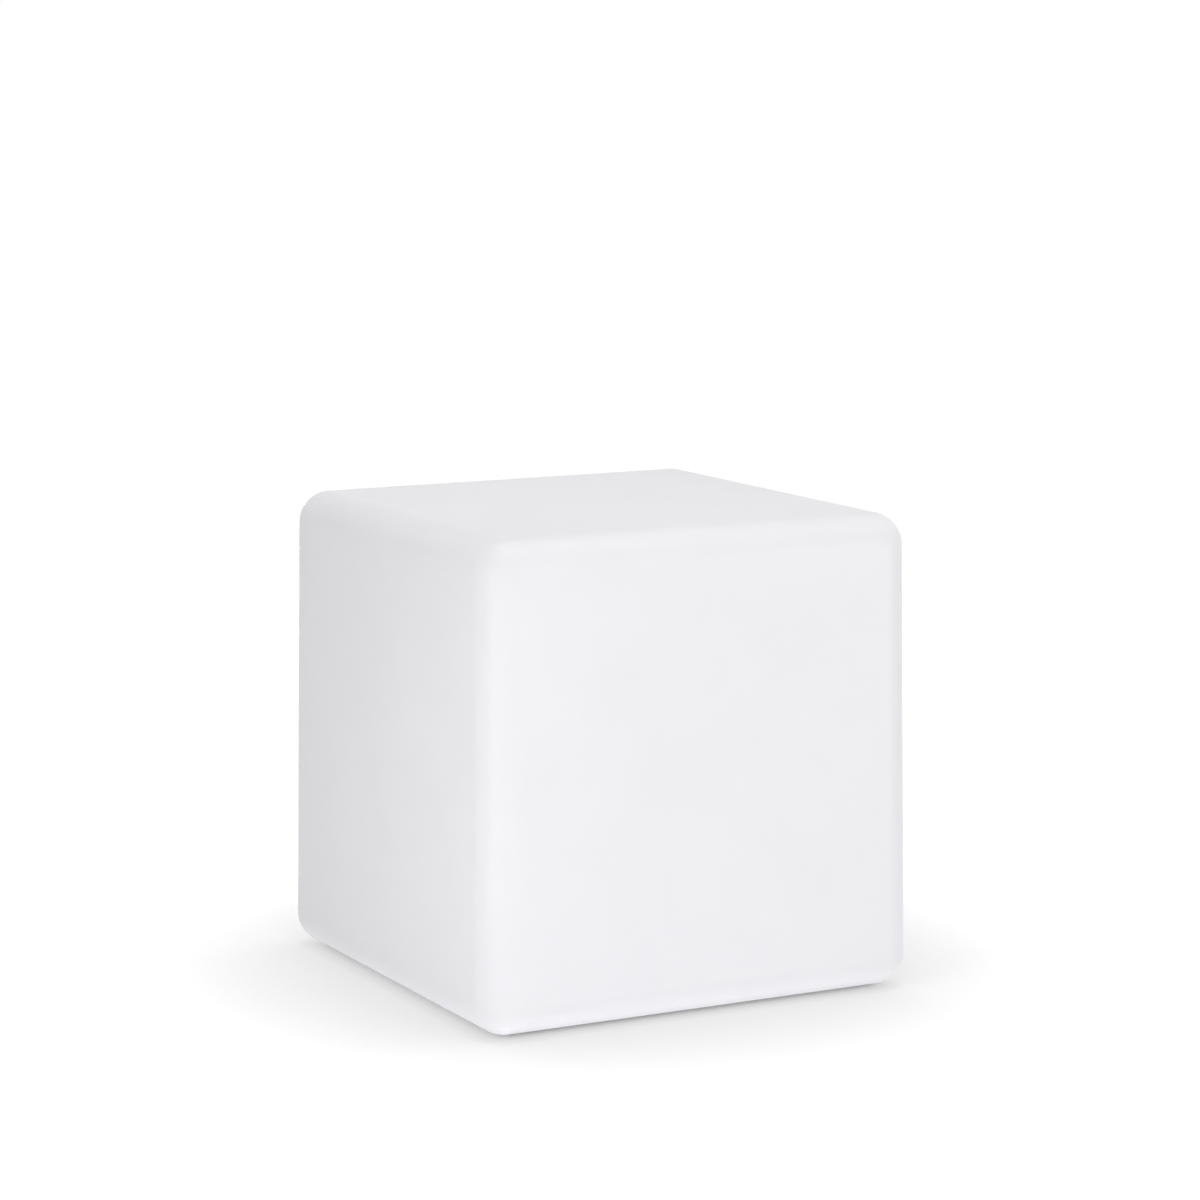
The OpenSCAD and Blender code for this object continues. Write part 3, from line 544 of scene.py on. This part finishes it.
def rubber(name, dark, light, rough, dusty):
    """Matt rubber with a bloom of dust in its pores."""
    look = Look(name)
    base = look.ramp(look.grain(0.004), paint(*dark), paint(*light))
    dust = look.mask(look.grain(0.0012, detail=4), 0.55, 0.75)
    look.colour(look.over(base, paint(*dusty), dust))
    look.rough(look.grain(0.002), *rough)
    look.raised(look.grain(0.0007), 0.00003)
    return look.material


def brushed(name, dark, light, rough, stretch):
    """Metal with fine tool marks that run along one axis."""
    look = Look(name, Metallic=1)
    marks = look.grain(0.0004, detail=4, stretch=stretch)
    look.colour(look.ramp(marks, paint(*dark), paint(*light)))
    look.rough(look.grain(0.003), *rough)
    look.raised(marks, 0.000006)
    return look.material


def shell_plastic():
    """Translucent white polyethylene with the soft grain of a blasted mould."""
    look = Look("shell_plastic", Subsurface_Weight=0.12, Subsurface_Radius=(1, 1, 1.1),
                Subsurface_Scale=0.006, IOR=1.5)
    look.colour(look.ramp(look.grain(0.09), paint(243, 242, 246), paint(245, 244, 248)))
    look.rough(look.grain(0.02), 0.46, 0.54)
    look.raised(look.grain(0.012), 0.000015).raised(look.grain(0.0009, detail=2), 0.000012)
    return look.material


def insert_brass():
    """Knurled brass: a slanting and a level set of ridges that cross."""
    look = Look("insert_brass", Metallic=1)
    marks = look.grain(0.0004, stretch=(1, 1, 6))
    look.colour(look.ramp(marks, paint(176, 138, 74), paint(214, 178, 104)))
    look.rough(look.grain(0.001), 0.28, 0.4)
    for axis in ("DIAGONAL", "Z"):
        look.raised(look.bands(0.0005, axis), 0.00002)
    return look.material


def lamp_lens_plastic():
    """A clear light pipe with a faintly frosted end."""
    look = Look("lamp_lens_plastic", Transmission_Weight=0.55, IOR=1.49)
    look.colour(look.ramp(look.grain(0.002), paint(214, 232, 226), paint(232, 244, 240)))
    look.rough(look.grain(0.0008), 0.12, 0.26)
    look.raised(look.grain(0.0004), 0.000008)
    return look.material


def lamp_chip():
    """Yellow phosphor in clear resin, with its grains showing."""
    look = Look("lamp_chip", Coat_Weight=0.4)
    grit = look.cells(0.0003)
    look.colour(look.ramp(grit, paint(244, 226, 128), paint(228, 202, 92), 0.2, 0.8))
    look.rough(look.grain(0.001), 0.3, 0.45)
    look.raised(grit, 0.00001)
    return look.material


def membrane():
    """A thin fibrous sheet that lets air through and keeps water out."""
    look = Look("membrane", Sheen_Weight=0.2)
    threads = look.grain(0.0002, detail=5, stretch=(1, 4, 1), distortion=1.5)
    look.colour(look.ramp(threads, paint(222, 222, 220), paint(244, 244, 243)))
    look.rough(threads, 0.7, 0.9)
    look.raised(threads, 0.00002)
    return look.material


def board(name, mask_dark, mask_light, trace, land):
    """A circuit board: traces under the solder mask and bare lands here and there."""
    look = Look(name, Coat_Weight=0.25)
    base = look.ramp(look.grain(0.006), paint(*mask_dark), paint(*mask_light))
    inputs = {"Vector": look.place, "Scale": TRACE_SCALE, "Mortar Size": TRACE_WIDTH}
    inputs.update({"Color1": BLACK, "Color2": BLACK, "Mortar": WHITE})
    brick = look.add("TexBrick", inputs)
    traced = look.over(base, paint(*trace), brick.outputs["Color"])
    lands = look.mask(look.cells(0.0035, metric="CHEBYCHEV"), 0.16, 0.12)
    look.colour(look.over(traced, paint(*land), lands))
    look.rough(look.grain(0.002), 0.25, 0.4)
    look.raised(brick.outputs["Color"], 0.00003).raised(lands, 0.00003)
    return look.material


def coil_ferrite():
    """Pressed ferrite, dark and grainy."""
    look = Look("coil_ferrite")
    grit = look.cells(0.0004, output="Color")
    look.colour(look.ramp(grit, paint(56, 57, 60), paint(92, 93, 97)))
    look.rough(look.grain(0.001), 0.6, 0.8)
    look.raised(grit, 0.00002)
    return look.material


def sleeve(name, dark, light, stripe, start, end):
    """A shrunk sleeve with lengthways creases and a pale band at one end."""
    look = Look(name, Coat_Weight=0.3)
    creases = look.grain(0.002, stretch=(0.15, 1, 1))
    base = look.ramp(creases, paint(*dark), paint(*light))
    split = look.add("SeparateXYZ", {"Vector": look.place})
    look.colour(look.over(base, paint(*stripe), look.mask(split.outputs["X"], start, end)))
    look.rough(look.grain(0.003), 0.25, 0.38)
    look.raised(creases, 0.00004)
    return look.material


def ribbon_grey():
    """Flat cable: one soft ridge for each of its wires."""
    look = Look("ribbon_grey")
    wires = look.bands(0.0014, "Y")
    look.colour(look.ramp(wires, paint(140, 142, 147), paint(186, 188, 192)))
    look.rough(look.grain(0.002), 0.4, 0.55)
    look.raised(wires, 0.0002)
    return look.material


def plate_aluminium():
    """Milled sheet with the curved marks of its cutter."""
    look = Look("plate_aluminium", Metallic=1)
    inputs = {"Vector": look.place, "Scale": CUTTER_SCALE, "Distortion": 1.5, "Detail": 2}
    rings = look.add("TexWave", inputs, wave_type="RINGS", rings_direction="Z")
    look.colour(look.ramp(rings.outputs["Fac"], paint(196, 198, 201), paint(222, 224, 226)))
    look.rough(look.grain(0.002), 0.28, 0.42)
    look.raised(rings.outputs["Fac"], 0.000008)
    return look.material


def cover_plastic():
    """Frosted polycarbonate, lit from behind when the light is on."""
    look = Look("cover_plastic", Transmission_Weight=0.35, Subsurface_Weight=0.2,
                Subsurface_Scale=0.004, IOR=1.58)
    look.colour(look.ramp(look.grain(0.02), paint(234, 236, 239), paint(244, 245, 247)))
    look.rough(look.grain(0.001), 0.5, 0.62)
    look.raised(look.grain(0.0004), 0.00001)
    return look.material


def make_looks():
    """Every material slot of the record with its material."""
    return {
        "shell_plastic": shell_plastic(),
        "housing_plastic": moulded("housing_plastic", (226, 226, 229), (233, 233, 235), (0.48, 0.58)),
        "button_plastic": moulded("button_plastic", (196, 198, 201), (204, 206, 209), (0.34, 0.44),
                                  grain=0.0008, height=0.000006),
        "foot_rubber": rubber("foot_rubber", (52, 52, 54), (66, 66, 68), (0.75, 0.9), (104, 103, 101)),
        "seal_rubber": rubber("seal_rubber", (62, 62, 65), (76, 76, 79), (0.55, 0.7), (96, 96, 97)),
        "insert_brass": insert_brass(),
        "screw_steel": brushed("screw_steel", (176, 177, 180), (212, 213, 215), (0.26, 0.4),
                               MARKS_ALONG_X),
        "lamp_lens_plastic": lamp_lens_plastic(),
        "lamp_chip": lamp_chip(),
        "vent_plastic": moulded("vent_plastic", (104, 106, 109), (116, 118, 121), (0.45, 0.58)),
        "membrane": membrane(),
        "board_green": board("board_green", (22, 92, 56), (30, 108, 66), (52, 140, 86),
                             (206, 184, 120)),
        "switch_plastic": moulded("switch_plastic", (30, 30, 32), (40, 40, 43), (0.4, 0.55)),
        "plunger_plastic": moulded("plunger_plastic", (150, 54, 40), (170, 66, 50), (0.4, 0.52)),
        "socket_steel": brushed("socket_steel", (196, 194, 188), (224, 222, 216), (0.22, 0.34),
                                MARKS_ALONG_Y),
        "coil_ferrite": coil_ferrite(),
        "capacitor_sleeve": moulded("capacitor_sleeve", (28, 34, 74), (36, 44, 90), (0.22, 0.34),
                                    Coat_Weight=0.3),
        "header_plastic": moulded("header_plastic", (222, 214, 188), (234, 227, 204), (0.42, 0.55)),
        "cell_wrap": sleeve("cell_wrap", (40, 92, 146), (52, 108, 164), (214, 220, 226),
                            *SLEEVE_BAND),
        "wire_red": moulded("wire_red", (170, 28, 24), (190, 38, 32), (0.35, 0.48)),
        "wire_black": moulded("wire_black", (24, 24, 25), (34, 34, 35), (0.35, 0.48)),
        "ribbon_grey": ribbon_grey(),
        "plate_aluminium": plate_aluminium(),
        "board_white": board("board_white", (232, 232, 228), (240, 240, 237), (222, 224, 222),
                             (214, 196, 140)),
        "cover_plastic": cover_plastic(),
    }


# Edges


def make_smoothing():
    """Nodes that join a mesh's loose faces and shade it smooth except over its real edges."""
    group = bpy.data.node_groups.new("smoothing", "GeometryNodeTree")
    group.interface.new_socket("Geometry", in_out="INPUT", socket_type="NodeSocketGeometry")
    group.interface.new_socket("Geometry", in_out="OUTPUT", socket_type="NodeSocketGeometry")
    start = add_node(group, "NodeGroupInput")
    inputs = {"Geometry": start.outputs[0], "Distance": JOIN_DISTANCE}
    joined = add_node(group, "GeometryNodeMergeByDistance", inputs)
    inputs = {"Geometry": joined.outputs["Geometry"], "Name": "custom_normal"}
    bare = add_node(group, "GeometryNodeRemoveAttribute", inputs)
    inputs = {"Geometry": bare.outputs["Geometry"]}
    smooth = add_node(group, "GeometryNodeSetShadeSmooth", inputs, domain="FACE")
    angle = add_node(group, "GeometryNodeInputMeshEdgeAngle")
    inputs = {0: angle.outputs["Unsigned Angle"], 1: SMOOTH_ANGLE}
    steep = add_node(group, "ShaderNodeMath", inputs, operation="GREATER_THAN")
    inputs = {"Geometry": smooth.outputs["Geometry"], "Selection": steep.outputs[0]}
    inputs["Shade Smooth"] = False
    crisp = add_node(group, "GeometryNodeSetShadeSmooth", inputs, domain="EDGE")
    add_node(group, "NodeGroupOutput", {0: crisp.outputs["Geometry"]})
    return group


def ease_edges(frame):
    """Small roundings on the edges of the moulded pieces that are seen underneath."""
    smoothing = make_smoothing()
    for name, width in EASED.items():
        node = frame["nodes"][name]
        node.modifiers.new("smoothing", "NODES").node_group = smoothing
        flatten = node.modifiers.new("flatten", "DECIMATE")
        flatten.decimate_type = "DISSOLVE"
        flatten.angle_limit = FLAT_ANGLE
        flatten.delimit = {"SHARP"}
        ease = node.modifiers.new("ease", "BEVEL")
        ease.width = width
        ease.segments = EASE_STEPS
        ease.limit_method = "ANGLE"
        ease.angle_limit = EASE_ANGLE
        ease.harden_normals = True


def dress(frame, shell):
    """Gives every node and piece the material of its slot."""
    looks = make_looks()
    shell.data.materials.clear()
    shell.data.materials.append(looks["shell_plastic"])
    for part in frame["record"]["subparts"]:
        for slot in frame["nodes"][part["node"]].material_slots:
            slot.material = looks[part["material_slot"]]


def corners(box):
    return [list(corner) for corner in box]


bpy.context.scene.view_settings.view_transform = "Standard"
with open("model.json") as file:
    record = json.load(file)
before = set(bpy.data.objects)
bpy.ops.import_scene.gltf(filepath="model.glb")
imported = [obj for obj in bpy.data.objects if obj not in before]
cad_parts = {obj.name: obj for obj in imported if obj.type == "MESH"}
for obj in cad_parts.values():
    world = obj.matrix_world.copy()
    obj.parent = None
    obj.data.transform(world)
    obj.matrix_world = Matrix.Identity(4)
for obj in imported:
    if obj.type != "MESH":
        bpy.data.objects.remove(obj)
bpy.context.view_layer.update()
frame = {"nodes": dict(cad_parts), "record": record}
make_camera()
make_world()
make_lamps(make_floor())
shell = make_shell()
ease_edges(frame)
dress(frame, shell)
